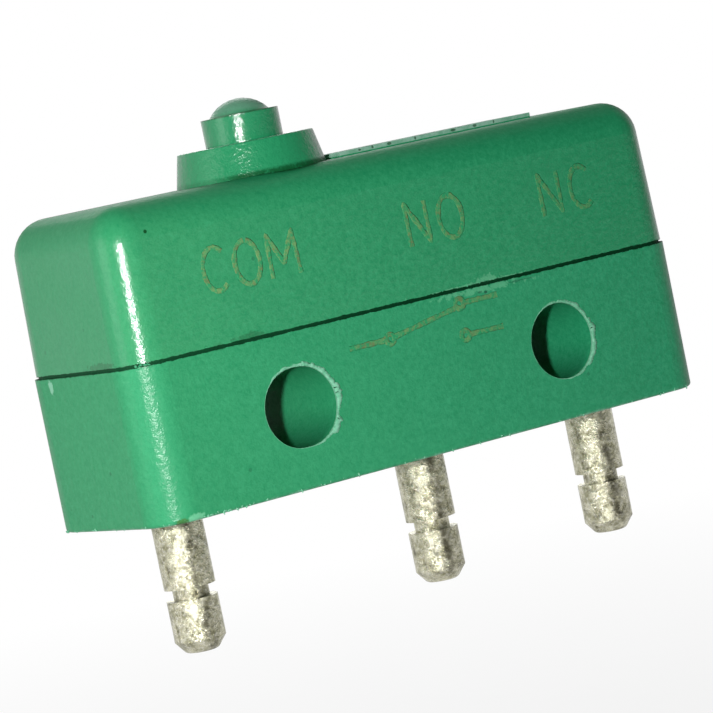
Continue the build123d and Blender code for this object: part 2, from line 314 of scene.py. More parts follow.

# marks on each moulding, most left by handling and two painted highlights along the lips of the parting
# line: centre and half size in mm, colour, strength
mouldMarks = {
    "cover": [
        {"at": (-8.57, -3.02, 5.80), "half": (0.06, 0.30, 0.06), "colour": "grimeAndShade", "strength": 0.95},
        {"at": (2.55, -3.12, 2.28), "half": (0.45, 0.20, 0.15), "colour": "paleGreenAndHighlight", "strength": 0.50,
         "ragged": 3.0},
        # painted highlight: a thin pale line along the cover's lip just above the parting line
        {"at": (2.20, -3.12, 2.25), "half": (1.90, 0.20, 0.040), "colour": "paleGreenAndHighlight", "strength": 0.55,
         "ragged": 1.8},
        {"at": (-5.90, -3.12, 2.30), "half": (0.60, 0.20, 0.11), "colour": "grimeAndShade", "strength": 0.40,
         "ragged": 2.2},
        {"at": (-9.90, -1.40, 2.32), "half": (0.20, 0.80, 0.12), "colour": "grimeAndShade", "strength": 0.40,
         "ragged": 2.2},
    ],
    "base": [
        # painted highlight: a pale line along the base's lip just below the parting line
        {"at": (2.20, -3.175, 2.05), "half": (1.80, 0.20, 0.10), "colour": "paleGreenAndHighlight", "strength": 0.45,
         "ragged": 3.0},
        {"at": (2.36, -3.175, 1.95), "half": (0.07, 0.20, 0.05), "colour": "speckAndShade", "strength": 0.90,
         "ragged": 1.2},
        {"at": (2.15, -3.175, 1.98), "half": (0.09, 0.20, 0.04), "colour": "speckAndShade", "strength": 0.60,
         "ragged": 1.4},
        {"at": (3.70, -3.175, 2.05), "half": (0.50, 0.20, 0.035), "colour": "speckAndShade", "strength": 0.50,
         "ragged": 2.4, "scale": 9.0},
        {"at": (-9.95, 1.50, 1.90), "half": (0.20, 0.13, 0.22), "colour": "brokenEdge", "strength": 0.90,
         "ragged": 1.4},
        {"at": (-9.25, -3.00, -2.32), "half": (0.24, 0.30, 0.15), "colour": "olive", "strength": 0.85,
         "ragged": 1.5},
        {"at": (-8.88, -3.12, -2.27), "half": (0.30, 0.25, 0.17), "colour": "paleGreenAndHighlight", "strength": 0.95,
         "ragged": 1.8},
    ],
    "plunger": [],
}


def startMaterial(name):
    material = bpy.data.materials.new(name)
    material.use_nodes = True
    tree = material.node_tree
    place = addNode(tree, "ShaderNodeTexCoord").outputs["Object"]
    return material, tree, scaled(tree, place, 1 / mm), tree.nodes["Principled BSDF"]


def finishSurface(tree, surface, colour, roughness, height, distance, strength):
    bump = {"Height": height, "Distance": distance, "Strength": strength}
    normal = firstOf(tree, "ShaderNodeBump", bump)
    fillInputs(tree, surface, {"Base Color": colour, "Roughness": roughness, "Normal": normal})
    return normal


def tint(tree, colour, mask, strength, name):
    return blendColour(tree, times(tree, mask, strength), colour, mouldColours[name])


def mouldedColour(tree, position, grain, leftSheen, finish):
    # plain green with a painted sheen that makes it paler towards the plunger end, with mottle, grain and
    # a few specks
    grainy = spread(tree, leftSheen, 0.0, 1.0, finish["grainy"], 0.5)
    darkGrain = times(tree, spread(tree, grain["Grain"], 0.50, 0.66), grainy)
    paleGrain = times(tree, spread(tree, grain["Grain"], 0.50, 0.32), grainy)
    specks = useGroup(tree, speckGroup, {"Position": position, "Cells": 1.3, "Size": 0.05, "Share": 0.16})
    colour = blendColour(tree, finish["cool"], mouldColours["green"], mouldColours["coolGreen"])
    colour = tint(tree, colour, leftSheen, 0.8, finish["leftSheen"])
    colour = tint(tree, colour, spread(tree, grain["Mottle"], 0.35, 0.7), 0.25, "deepGreen")
    colour = tint(tree, colour, spread(tree, grain["Tone"], 0.42, 0.68), 0.26, "deepGreen")
    colour = tint(tree, colour, spread(tree, grain["Tone"], 0.42, 0.25), 0.15, "cornerGreen")
    colour = tint(tree, colour, darkGrain, 0.90, "deepGreen")
    colour = tint(tree, colour, paleGrain, 0.40, "cornerGreen")
    return tint(tree, colour, specks["Mask"], 0.4, "speckAndShade")


# half heights in mm of the dark parting line and of the smear beside it, where thin and where thick
seamDirt = {"line": (0.038, 0.075), "smear": (0.04, 0.22)}


def makeSeamDirt(tree, position, part):
    fromSeam = absolute(tree, minus(tree, part[2], seamMiddle))
    lineReach = spread(tree, noise(tree, position, 4.0, 5.0, 0.75), 0.35, 0.70, *seamDirt["line"])
    smearReach = spread(tree, noise(tree, position, 2.2, 5.0, 0.75), 0.45, 0.75, *seamDirt["smear"])
    line = calc(tree, "LESS_THAN", fromSeam, lineReach)
    line = times(tree, line, spread(tree, part[0], -9.9, 0.0, 0.88, 1.0))
    smear = minus(tree, 1.0, over(tree, fromSeam, smearReach), clamp=True)
    return line, smear


# the collar's extra shine and lumps, and the painted shade at its foot, which is a ring of that radius and
# width that ends so far above the cover's top and thickens along X
collar = {
    "radius": 2.30, "gloss": 0.75, "lumps": 1.9,
    "shadeRadius": 2.26, "shadeWidth": 0.13, "shadeFull": 0.08, "shadeEnds": 0.17,
    "thinUpTo": plungerX - 2.0, "thickFrom": plungerX - 1.5,
}


def addCollar(tree, position, part, colour, gloss, height):
    fromAxis = vecCalc(tree, "LENGTH", join(tree, minus(tree, part[0], plungerX), part[1], 0.0))
    onCollar = times(tree, calc(tree, "LESS_THAN", fromAxis, collar["radius"]),
                     spread(tree, part[2], coverTop - 0.02, coverTop + 0.01))
    gloss = plus(tree, gloss, times(tree, onCollar, collar["gloss"]))
    height = times(tree, height, plus(tree, 1.0, times(tree, onCollar, collar["lumps"])))
    # a ragged line of painted shade lies where the collar meets the cover's top
    footShade = hump(tree, fromAxis, collar["shadeRadius"], collar["shadeWidth"])
    low = spread(tree, part[2], coverTop + collar["shadeEnds"], coverTop + collar["shadeFull"])
    ragged = spread(tree, noise(tree, position, 4.0, 5.0, 0.75), 0.30, 0.46)
    thicker = spread(tree, part[0], collar["thinUpTo"], collar["thickFrom"], 0.35, 1.0)
    footShade = times(tree, times(tree, times(tree, footShade, low), ragged), thicker)
    colour = tint(tree, colour, footShade, 0.92, "grimeAndShade")
    return colour, times(tree, gloss, minus(tree, 1.0, footShade)), height


# nicks along the front edge of the pad, each with its place along X and its half size along X and Z
pad = {
    "from": plungerX + 2.28, "frontY": -1.2, "nickDepth": 0.18, "nickZ": coverTop + 0.10,
    "nicks": (
        (0.33, 0.06, 0.04), (0.80, 0.05, 0.05), (1.42, 0.10, 0.05), (2.38, 0.04, 0.06),
        (3.80, 0.11, 0.05), (4.62, 0.08, 0.05), (5.35, 0.04, 0.06),
    ),
}


def addPad(tree, position, part, colour):
    # the pad is rubbed pale
    onPad = times(tree, spread(tree, part[2], coverTop + 0.03, coverTop + 0.05),
                  calc(tree, "GREATER_THAN", part[0], pad["from"]))
    rubbed = spread(tree, noise(tree, position, 3.0, 4.0, 0.7), 0.38, 0.55, 0.60, 1.0)
    colour = tint(tree, colour, times(tree, onPad, rubbed), 1.00, "wornGreen")
    for x, halfX, halfZ in pad["nicks"]:
        nick = useGroup(tree, patchGroup, {
            "Position": position, "Centre": (x, pad["frontY"], pad["nickZ"]),
            "Half Size": (halfX, pad["nickDepth"], halfZ),
        })
        colour = tint(tree, colour, nick["Mask"], 0.75, "grimeAndShade")
    return colour


def addCoverWearAndShade(tree, position, part, leftSheen, colour, gloss, height):
    # the skin is dull towards the top, and painted shade makes the green deeper there and at the two ends
    gloss = times(tree, gloss, spread(tree, part[2], coverTop - 1.1, coverTop - 0.1, 1.0, 0.03))
    # painted shade: deeper green towards the right end, on the left end face and towards the top
    colour = tint(tree, colour, minus(tree, 1.0, leftSheen), 0.58, "deepGreen")
    atLeft = spread(tree, part[0], caseLeftX + 0.35, caseLeftX + 0.17)
    colour = tint(tree, colour, atLeft, 0.35, "deepGreen")
    atTop = spread(tree, part[2], coverTop - 0.9, coverTop + 0.2)
    colour = tint(tree, colour, atTop, 0.65, "deepGreen")
    colour, gloss, height = addCollar(tree, position, part, colour, gloss, height)
    return addPad(tree, position, part, colour), gloss, height


def addBaseWearAndShade(tree, position, part, colour, gloss):
    # the bottom edge is broken pale, and the holes have frayed mouths and dull bores, with painted shade
    # darkening the lower part of each bore
    wobble = times(tree, noise(tree, position, 2.0, 5.0, 0.7), 0.30)
    fromBottom = plus(tree, minus(tree, part[2], bottomZ), wobble)
    colour = tint(tree, colour, spread(tree, fromBottom, 0.13, 0.20, 1.0, 0.0), 0.55, "brokenEdge")
    for mountName, hole in holes.items():
        holeX = mounts[mountName]["pos_m"][0] / mm
        rim = useGroup(tree, rimGroup, {
            "Position": position, "Hole X": holeX, "Half Slot": hole["halfSlot"],
            "Radius": hole["radius"], "Width": 0.10, "Half Width": halfWidth,
        })
        colour = tint(tree, colour, rim["Mask"], 0.85, "brokenEdge")
        gloss = times(tree, gloss, spread(tree, rim["Bore"], 0.0, 1.0, 1.0, 0.15))
        # painted shade in the lower part of each bore
        low = times(tree, rim["Bore"], spread(tree, part[2], -1.0, -0.2, 1.0, 0.0))
        colour = tint(tree, colour, low, 0.45, "speckAndShade")
    return colour, gloss


# the nose is rubbed pale and dull, with painted shade in the crease at its root; heights in mm below its
# tip
plungerNose = {"creaseBelow": 0.455, "from": 0.45, "to": 0.30, "pale": 0.42, "gloss": 0.12}


def addPlungerWearAndShade(tree, part, colour, gloss):
    colour = blendColour(tree, 0.9, colour, mouldColours["deepGreen"])
    # painted shade: the crease at the root of the nose is darkened
    fromCrease = absolute(tree, minus(tree, part[2], plungerTop - plungerNose["creaseBelow"]))
    colour = tint(tree, colour, spread(tree, fromCrease, 0.01, 0.05, 1.0, 0.0), 0.7, "grimeAndShade")
    onNose = spread(tree, part[2], plungerTop - plungerNose["from"], plungerTop - plungerNose["to"])
    colour = tint(tree, colour, onNose, plungerNose["pale"], "wornGreen")
    return colour, times(tree, gloss, spread(tree, onNose, 0.0, 1.0, 1.0, plungerNose["gloss"]))


def addMarks(tree, position, colour, marks):
    for mark in marks:
        spot = useGroup(tree, patchGroup, {
            "Position": position, "Centre": mark["at"], "Half Size": mark["half"],
            "Ragged": mark.get("ragged", 0.8), "Ragged Scale": mark.get("scale", 8.0),
        })
        colour = tint(tree, colour, spot["Mask"], mark["strength"], mark["colour"])
    return colour


def makeMoulding(kind):
    finish = mouldFinish[kind]
    material, tree, position, surface = startMaterial(kind + "Moulding")
    part = split(tree, position)
    grain = useGroup(tree, grainGroup, {"Position": position, "Grain Scale": finish["grain"],
                                        "Mottle Scale": finish["mottle"], "Lumpy": finish["lumpy"]})
    # painted sheen: 1 at the left end, falling to 0 near the right end
    leftSheen = spread(tree, part[0], caseLeftX, caseMiddleX + caseHalfLength * 0.8, 1.0, 0.0)
    colour = mouldedColour(tree, position, grain, leftSheen, finish)
    gloss = spread(tree, grain["Mottle"], 0.3, 0.7, finish["gloss"] * 0.85, finish["gloss"] * 1.1)
    height = grain["Lumps"]
    if kind == "plunger":
        colour, gloss = addPlungerWearAndShade(tree, part, colour, gloss)
    else:
        corner = useGroup(tree, cornerGroup, {
            "Position": position, "Middle X": caseMiddleX, "Half Length": caseHalfLength,
            "Half Width": halfWidth,
        })["Mask"]
        # painted highlight: the rounded upright corners, where the lamp falls most strongly, are painted
        # paler
        colour = tint(tree, colour, corner, finish["corner"], "cornerGreen")
        height = times(tree, height, spread(tree, corner, 0.3, 1.0, 1.0, 1.2))
        line, smear = makeSeamDirt(tree, position, part)
        colour = tint(tree, colour, smear, 0.5, "grimeAndShade")
        gloss = times(tree, gloss, minus(tree, 1.0, line))
    if kind == "cover":
        colour, gloss, height = addCoverWearAndShade(tree, position, part, leftSheen, colour, gloss, height)
    if kind == "base":
        colour, gloss = addBaseWearAndShade(tree, position, part, colour, gloss)
    colour = addMarks(tree, position, colour, mouldMarks[kind])
    if kind != "plunger":
        colour = tint(tree, colour, line, 0.96, "seamShade")
    roughness = spread(tree, grain["Grain"], 0.3, 0.7, 0.55, 0.65)
    normal = finishSurface(tree, surface, colour, roughness, height, 0.05 * mm, finish["bump"])
    fillInputs(tree, surface, {
        "Coat Weight": gloss, "Coat Normal": normal, "Coat Roughness": finish["skin"], "Coat IOR": 1.5,
        "Specular IOR Level": 0.06,
    })
    return material


# tones from the darkest lumps to the brightest; a dark band runs down one side of each post, partly
# tarnish and partly a painted dark reflection
tin = {
    "tones": (
        (0.34, (0.12, 0.11, 0.06, 1)),
        (0.43, (0.31, 0.30, 0.19, 1)),
        (0.60, (0.60, 0.58, 0.43, 1)),
    ),
    "sparkle": (0.94, 0.92, 0.84, 1),
    "tarnishAndReflection": (0.06, 0.055, 0.03, 1),
    "reflectionTowards": (0.83, -0.557), "reflectionAt": 0.30, "reflectionWidth": 0.16,
    "roughness": (0.16, 0.36),
}


def makeTin(name, mountName):
    material, tree, position, surface = startMaterial(name)
    lumps = noise(tree, position, 3.2, 5.0, 0.7)
    sparkle = noise(tree, position, 9.0, 3.0, 0.7)
    toned = addNode(tree, "ShaderNodeValToRGB", {0: lumps})
    toned.color_ramp.elements.new(0.5)
    for element, (place, tone) in zip(toned.color_ramp.elements, tin["tones"]):
        element.position = place
        element.color = tone
    bright = spread(tree, sparkle, 0.45, 0.75, 0.0, 0.6)
    colour = blendColour(tree, bright, toned.outputs[0], tin["sparkle"])
    part = split(tree, position)
    across = minus(tree, part[0], mounts[mountName]["pos_m"][0] / mm)
    towardsX, towardsY = tin["reflectionTowards"]
    aside = plus(tree, times(tree, across, towardsX), times(tree, part[1], towardsY))
    # partly tarnish and partly a painted dark reflection beside the highlight
    tarnishAndReflection = hump(tree, aside, tin["reflectionAt"], tin["reflectionWidth"])
    tarnishAndReflection = times(tree, tarnishAndReflection, calc(tree, "LESS_THAN", part[1], 0.3))
    tarnishAndReflection = times(tree, tarnishAndReflection, spread(tree, noise(tree, position, 1.7, 5.0, 0.7), 0.44, 0.58))
    colour = blendColour(tree, times(tree, tarnishAndReflection, 0.85), colour, tin["tarnishAndReflection"])
    roughness = spread(tree, noise(tree, position, 2.6, 5.0, 0.75), 0.42, 0.58, *tin["roughness"])
    height = plus(tree, times(tree, lumps, 0.9), times(tree, sparkle, 0.6))
    finishSurface(tree, surface, colour, roughness, height, 0.06 * mm, 1.0)
    fillInputs(tree, surface, {"Metallic": 0.85, "Specular IOR Level": 0.3})
    return material


innerMetals = {
    "plainBrass": {"clean": (0.60, 0.44, 0.18, 1), "stained": (0.42, 0.28, 0.10, 1), "roughness": 0.32},
    "contactSilver": {"clean": (0.80, 0.79, 0.76, 1), "stained": (0.60, 0.58, 0.52, 1), "roughness": 0.25},
    "springCopper": {"clean": (0.62, 0.38, 0.20, 1), "stained": (0.45, 0.25, 0.12, 1), "roughness": 0.3},
}


def makeInnerMetal(name):
    metal = innerMetals[name]
    material, tree, position, surface = startMaterial(name)
    stretched = firstOf(tree, "ShaderNodeMapping", {"Vector": position, "Scale": (1.0, 9.0, 1.0)})
    lines = noise(tree, stretched, 3.0, 3.0, 0.6)
    stained = spread(tree, noise(tree, position, 0.8, 4.0, 0.6), 0.35, 0.7)
    colour = blendColour(tree, stained, metal["clean"], metal["stained"])
    roughness = spread(tree, lines, 0.3, 0.7, metal["roughness"] - 0.08, metal["roughness"] + 0.1)
    finishSurface(tree, surface, colour, roughness, lines, 0.01 * mm, 0.5)
    surface.inputs["Metallic"].default_value = 1.0
    return material


stampInk = {
    "fresh": (0.17, 0.35, 0.13, 1), "stained": (0.17, 0.19, 0.08, 1),
    "fadesFrom": -4.0, "fadesTo": 7.0,
}


def makeStampInk():
    # patchy ink, worn through to the green and fainter towards the far end
    material, tree, position, surface = startMaterial("fadedStamp")
    worn = spread(tree, noise(tree, position, 6.5, 5.0, 0.75), 0.42, 0.58)
    stained = spread(tree, noise(tree, position, 3.6, 5.0, 0.7), 0.48, 0.60, 0.0, 0.9)
    fading = spread(tree, split(tree, position)[0], stampInk["fadesFrom"], stampInk["fadesTo"])
    colour = blendColour(tree, stained, stampInk["fresh"], stampInk["stained"])
    colour = tint(tree, colour, worn, 0.92, "green")
    colour = tint(tree, colour, fading, 0.40, "deepGreen")
    finishSurface(tree, surface, colour, spread(tree, worn, 0.0, 1.0, 0.55, 0.45), worn, 0.01 * mm, 0.4)
    surface.inputs["Specular IOR Level"].default_value = 0.1
    return material


def makeTornSkin(name, second):
    material, tree, position, surface = startMaterial(name)
    tone = noise(tree, position, 6.0, 4.0, 0.7)
    colour = blendColour(tree, spread(tree, tone, 0.35, 0.7), mouldColours[name], mouldColours[second])
    finishSurface(tree, surface, colour, spread(tree, tone, 0.3, 0.7, 0.45, 0.65), tone, 0.02 * mm, 0.6)
    surface.inputs["Specular IOR Level"].default_value = 0.2
    return material


postNames = ["common_terminal", "normally_open_terminal", "normally_closed_terminal"]
bracketNames = ["common_bracket", "normally_open_bracket", "normally_closed_bracket"]
contactNames = ["normally_open_contact", "normally_closed_contact", "moving_contact"]
surfaces = {
    "case_base": makeMoulding("base"),
    "case_cover": makeMoulding("cover"),
    "plunger": makeMoulding("plunger"),
    "snap_blade": makeInnerMetal("springCopper"),
}
surfaces.update({post: makeTin(post + "Tin", post.replace("terminal", "post")) for post in postNames})
surfaces.update(dict.fromkeys(bracketNames, makeInnerMetal("plainBrass")))
surfaces.update(dict.fromkeys(contactNames, makeInnerMetal("contactSilver")))
for nodeName, material in surfaces.items():
    mesh = frame["nodes"][nodeName].data
    mesh.materials.clear()
    mesh.materials.append(material)
print("finishes given to", len(surfaces), "CAD nodes")

brokenEdge = makeTornSkin("brokenEdge", "softEdge")
softEdge = makeTornSkin("softEdge", "deepGreen")
fadedStamp = makeStampInk()


def newGrower(name, inputs):
    tree = bpy.data.node_groups.new(name, "GeometryNodeTree")
    for socketName, kind in inputs:
        tree.interface.new_socket(socketName, in_out="INPUT", socket_type=kind)
    tree.interface.new_socket("Geometry", in_out="OUTPUT", socket_type=geometry)
    return tree, tree.nodes.new("NodeGroupInput").outputs, tree.nodes.new("NodeGroupOutput").inputs


def endGrower(tree, shape, finish, out):
    plain = firstOf(tree, "GeometryNodeRealizeInstances", {0: shape})
    plain = firstOf(tree, "GeometryNodeSetMaterial", {"Geometry": plain, "Material": finish})
    tree.links.new(plain, out[0])
    return tree


def growPiece(name, tree, values, start=None):
    holder = bpy.data.objects.new(name + "Start", start or bpy.data.meshes.new(name + "Start"))
    scene.collection.objects.link(holder)
    modifier = holder.modifiers.new("grow", "NODES")
    modifier.node_group = tree
    for item in tree.interface.items_tree:
        if item.in_out == "INPUT" and item.name in values:
            modifier[item.identifier] = values[item.name]
    seen = holder.evaluated_get(bpy.context.evaluated_depsgraph_get())
    mesh = bpy.data.meshes.new_from_object(seen)
    # an empty slot that the start leaves in front of the finish is dropped
    if mesh.materials[0] is None:
        mesh.materials.pop(index=0)
    holder.modifiers.clear()
    bpy.data.objects.remove(holder)
    piece = bpy.data.objects.new(name, mesh)
    scene.collection.objects.link(piece)
    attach(piece, "case")
    print(name, "has", len(mesh.polygons), "faces")


# the ring is a tube of so many steps and sides, pushed outward by a share of its own thickness
# and pressed towards the face
rimTube = {"steps": 260, "sides": 7, "thinnest": 0.004 * mm, "outward": 0.9, "pressed": 0.45}


def ringThickness(tree, given, place):
    # thick on the heavy side, ragged all round, with a chunk in each of two places
    turn = addNode(tree, "GeometryNodeSplineParameter").outputs["Factor"]
    angle = times(tree, turn, 2 * math.pi)
    heavy = spread(tree, calc(tree, "COSINE", minus(tree, angle, given["Heavy Angle"])), -0.60, 0.8)
    aside = calc(tree, "COSINE", minus(tree, angle, given["Chunk Angle"]))
    below = calc(tree, "COSINE", minus(tree, angle, given["Low Chunk Angle"]))
    chunk = spread(tree, calc(tree, "MAXIMUM", aside, below), 0.970, 0.996)
    seeded = vecCalc(tree, "ADD", scaled(tree, place, 1 / mm), join(tree, given["Seed"], 0.0, 0.0))
    ragged = spread(tree, noise(tree, seeded, 3.5, 5.0, 0.75), 0.36, 0.66, 0.1, 1.0)
    bits = spread(tree, noise(tree, seeded, 7.0, 2.0, 0.6), 0.42, 0.6, 0.5, 1.0)
    plain = times(tree, times(tree, heavy, ragged), given["Thickness"])
    extra = times(tree, times(tree, chunk, bits), given["Chunk Size"])
    return plus(tree, plus(tree, plain, extra), rimTube["thinnest"])


def makeRimGrower():
    # a torn ring of moulding skin round the mouth of a hole
    tree, given, out = newGrower("torn rim", [
        ("Radius", number), ("Half Slot", number), ("Hole X", number), ("Face Y", number),
        ("Thickness", number), ("Heavy Angle", number), ("Chunk Angle", number),
        ("Low Chunk Angle", number), ("Chunk Size", number), ("Seed", number), ("Finish", finishKind),
    ])
    circle = firstOf(tree, "GeometryNodeCurvePrimitiveCircle",
                     {"Resolution": rimTube["steps"], "Radius": given["Radius"]})
    place = firstOf(tree, "GeometryNodeInputPosition")
    part = split(tree, place)
    thickness = ringThickness(tree, given, place)
    stretch = times(tree, calc(tree, "SIGN", part[0]), given["Half Slot"])
    outward = over(tree, times(tree, thickness, rimTube["outward"]), given["Radius"])
    grow = plus(tree, 1.0, outward)
    x = plus(tree, times(tree, part[0], grow), plus(tree, stretch, given["Hole X"]))
    spot = join(tree, x, given["Face Y"], times(tree, part[1], grow))
    kept = addNode(tree, "GeometryNodeCaptureAttribute")
    kept.capture_items.new("FLOAT", "Size")
    fillInputs(tree, kept, {"Geometry": circle, "Size": thickness})
    ring = firstOf(tree, "GeometryNodeSetPosition",
                   {"Geometry": kept.outputs["Geometry"], "Position": spot})
    profile = firstOf(tree, "GeometryNodeCurvePrimitiveCircle",
                      {"Resolution": rimTube["sides"], "Radius": 1.0})
    tube = firstOf(tree, "GeometryNodeCurveToMesh",
                   {"Curve": ring, "Profile Curve": profile, "Scale": kept.outputs["Size"]})
    tubePart = split(tree, firstOf(tree, "GeometryNodeInputPosition"))
    pressed = times(tree, minus(tree, tubePart[1], given["Face Y"]), rimTube["pressed"])
    flat = join(tree, tubePart[0], plus(tree, pressed, given["Face Y"]), tubePart[2])
    tube = firstOf(tree, "GeometryNodeSetPosition", {"Geometry": tube, "Position": flat})
    return endGrower(tree, tube, given["Finish"], out)


# angles in degrees from +X towards +Z, sizes in mm
tornRims = {
    "leftHoleFront": {"mount": "long_hole", "side": -1, "thick": 0.11, "heavy": 25,
                      "chunkAt": 5, "lowChunkAt": -36, "chunk": 0.085, "seed": 3.0},
    "rightHoleFront": {"mount": "round_hole", "side": -1, "thick": 0.10, "heavy": 15,
                       "chunkAt": 8, "lowChunkAt": -20, "chunk": 0.025, "seed": 8.0},
    "leftHoleBack": {"mount": "long_hole", "side": 1, "thick": 0.030, "heavy": 200,
                     "chunkAt": 120, "lowChunkAt": 230, "chunk": 0.020, "seed": 15.0},
    "rightHoleBack": {"mount": "round_hole", "side": 1, "thick": 0.030, "heavy": 70,
                      "chunkAt": 300, "lowChunkAt": 10, "chunk": 0.020, "seed": 22.0},
}

rimGrower = makeRimGrower()
for name, rim in tornRims.items():
    hole = holes[rim["mount"]]
    growPiece(name + "TornRim", rimGrower, {
        "Radius": hole["radius"] * mm,
        "Half Slot": hole["halfSlot"] * mm,
        "Hole X": mounts[rim["mount"]]["pos_m"][0],
        "Face Y": rim["side"] * halfWidth * mm,
        "Thickness": rim["thick"] * mm,
        "Heavy Angle": math.radians(rim["heavy"]),
        "Chunk Angle": math.radians(rim["chunkAt"]),
        "Low Chunk Angle": math.radians(rim["lowChunkAt"]),
        "Chunk Size": rim["chunk"] * mm,
        "Seed": rim["seed"],
        "Finish": brokenEdge,
    })


# each crumb is a small ball, moved by up to the jitter in mm, turned and stretched at random
crumbShape = {
    "jitter": (0.05, 0.004, 0.02),
    "turn": (6.28, 6.28, 6.28),
    "smallest": (0.4, 0.25, 0.3),
    "largest": (1.6, 0.6, 1.0),
}


def drawNumber(tree, seed):
    return addNode(tree, "FunctionNodeRandomValue", {"Seed": seed}, data_type="FLOAT").outputs[1]


def drawVector(tree, seed, low, high):
    inputs = {0: low, 1: high, "Seed": seed}
    return firstOf(tree, "FunctionNodeRandomValue", inputs, data_type="FLOAT_VECTOR")


def makeCrumbGrower():
    # crumbs of broken skin along a path that goes round the case, crowded in one cluster at the front
    tree, given, out = newGrower("edge crumbs", [
        ("Length", number), ("Width", number), ("Rounding", number), ("Middle X", number),
        ("Height", number), ("Lip Gap", number), ("Count", whole), ("Crumb Size", number),
        ("Share", number), ("Cluster X", number), ("Cluster Spread", number), ("Cluster Share", number),
        ("Seed", whole), ("Finish", finishKind),
    ])
    outline = firstOf(tree, "GeometryNodeCurvePrimitiveQuadrilateral",
                      {"Width": given["Length"], "Height": given["Width"]})
    outline = firstOf(tree, "GeometryNodeFilletCurve",
                      {"Curve": outline, "Radius": given["Rounding"], "Count": 10}, mode="POLY")
    middle = join(tree, given["Middle X"], 0.0, given["Height"])
    outline = firstOf(tree, "GeometryNodeTransform", {"Geometry": outline, "Translation": middle})
    points = firstOf(tree, "GeometryNodeCurveToPoints",
                     {"Curve": outline, "Count": given["Count"]}, mode="COUNT")
    part = split(tree, firstOf(tree, "GeometryNodeInputPosition"))
    cluster = hump(tree, part[0], given["Cluster X"], given["Cluster Spread"])
    cluster = times(tree, cluster, calc(tree, "LESS_THAN", part[1], 0.0))
    chance = plus(tree, times(tree, cluster, given["Cluster Share"]), given["Share"])
    unlucky = calc(tree, "GREATER_THAN", drawNumber(tree, given["Seed"]), chance)
    kept = firstOf(tree, "GeometryNodeDeleteGeometry",
                   {"Geometry": points, "Selection": unlucky}, domain="POINT")
    # about half of the crumbs sit on the upper lip of the gap, the rest on the lower
    onUpper = calc(tree, "GREATER_THAN", drawNumber(tree, plus(tree, given["Seed"], 1)), 0.5)
    lip = times(tree, minus(tree, onUpper, 0.5), given["Lip Gap"])
    most = [reach * mm for reach in crumbShape["jitter"]]
    least = [-reach for reach in most]
    jitter = drawVector(tree, plus(tree, given["Seed"], 2), least, most)
    offset = vecCalc(tree, "ADD", jitter, join(tree, 0.0, 0.0, lip))
    kept = firstOf(tree, "GeometryNodeSetPosition", {"Geometry": kept, "Offset": offset})
    ball = firstOf(tree, "GeometryNodeMeshIcoSphere", {"Radius": 1.0, "Subdivisions": 1})
    turn = drawVector(tree, plus(tree, given["Seed"], 3), (0, 0, 0), crumbShape["turn"])
    fourth = plus(tree, given["Seed"], 4)
    stretch = drawVector(tree, fourth, crumbShape["smallest"], crumbShape["largest"])
    stretch = scaled(tree, stretch, given["Crumb Size"])
    crumbs = firstOf(tree, "GeometryNodeInstanceOnPoints",
                     {"Points": kept, "Instance": ball, "Rotation": turn, "Scale": stretch})
    return endGrower(tree, crumbs, given["Finish"], out)


crumbLines = {
    "seamCrumbs": {
        "setIn": 0.03, "rounding": 1.10, "height": seamMiddle, "gap": 0.15,
        "count": 900, "size": 0.036, "share": 0.04, "seed": 5, "finish": softEdge,
        "clusterX": 2.5, "clusterSpread": 1.0, "clusterShare": 0.6,
    },
    "cornerCrumbs": {
        "setIn": 0.03, "rounding": 1.10, "height": seamMiddle, "gap": 0.03,
        "count": 2200, "size": 0.065, "share": 0.0, "seed": 12, "finish": softEdge,
        "clusterX": -9.4, "clusterSpread": 0.16, "clusterShare": 0.9,
    },
    "bottomCrumbs": {
        "setIn": 0.025, "rounding": 1.10, "height": bottomZ + 0.05, "gap": 0.03,
        "count": 700, "size": 0.055, "share": 0.10, "seed": 31, "finish": brokenEdge,
        "clusterX": -7.9, "clusterSpread": 0.9, "clusterShare": 0.7,
    },
}

crumbGrower = makeCrumbGrower()
for name, line in crumbLines.items():
    growPiece(name, crumbGrower, {
        "Length": 2 * (caseHalfLength - line["setIn"]) * mm,
        "Width": 2 * (halfWidth - line["setIn"]) * mm,
        "Rounding": line["rounding"] * mm,
        "Middle X": caseMiddleX * mm,
        "Height": line["height"] * mm,
        "Lip Gap": line["gap"] * mm,
        "Count": line["count"],
        "Crumb Size": line["size"] * mm,
        "Share": line["share"],
        "Cluster X": line["clusterX"] * mm,
        "Cluster Spread": line["clusterSpread"] * mm,
        "Cluster Share": line["clusterShare"],
        "Seed": line["seed"],
        "Finish": line["finish"],
    })


# sizes and places in mm; setBack is how far behind the base's front the strokes are drawn, and
# standOff the share of their own height that is left above the moulding once they are laid
terminalMarks = {
    "letterHeight": 1.25, "letterZ": 3.72, "strokeWidth": 0.17, "standOff": 0.05,
    "words": {"COM": -7.05, "NO": 0.10, "NC": 5.05},
    "signX": -2.75, "signZ": 0.85, "setBack": {"letters": 0.09, "sign": 0.0},
    "step": 0.05, "sides": 8, "thinShare": 0.32, "thickShare": 0.62,
}


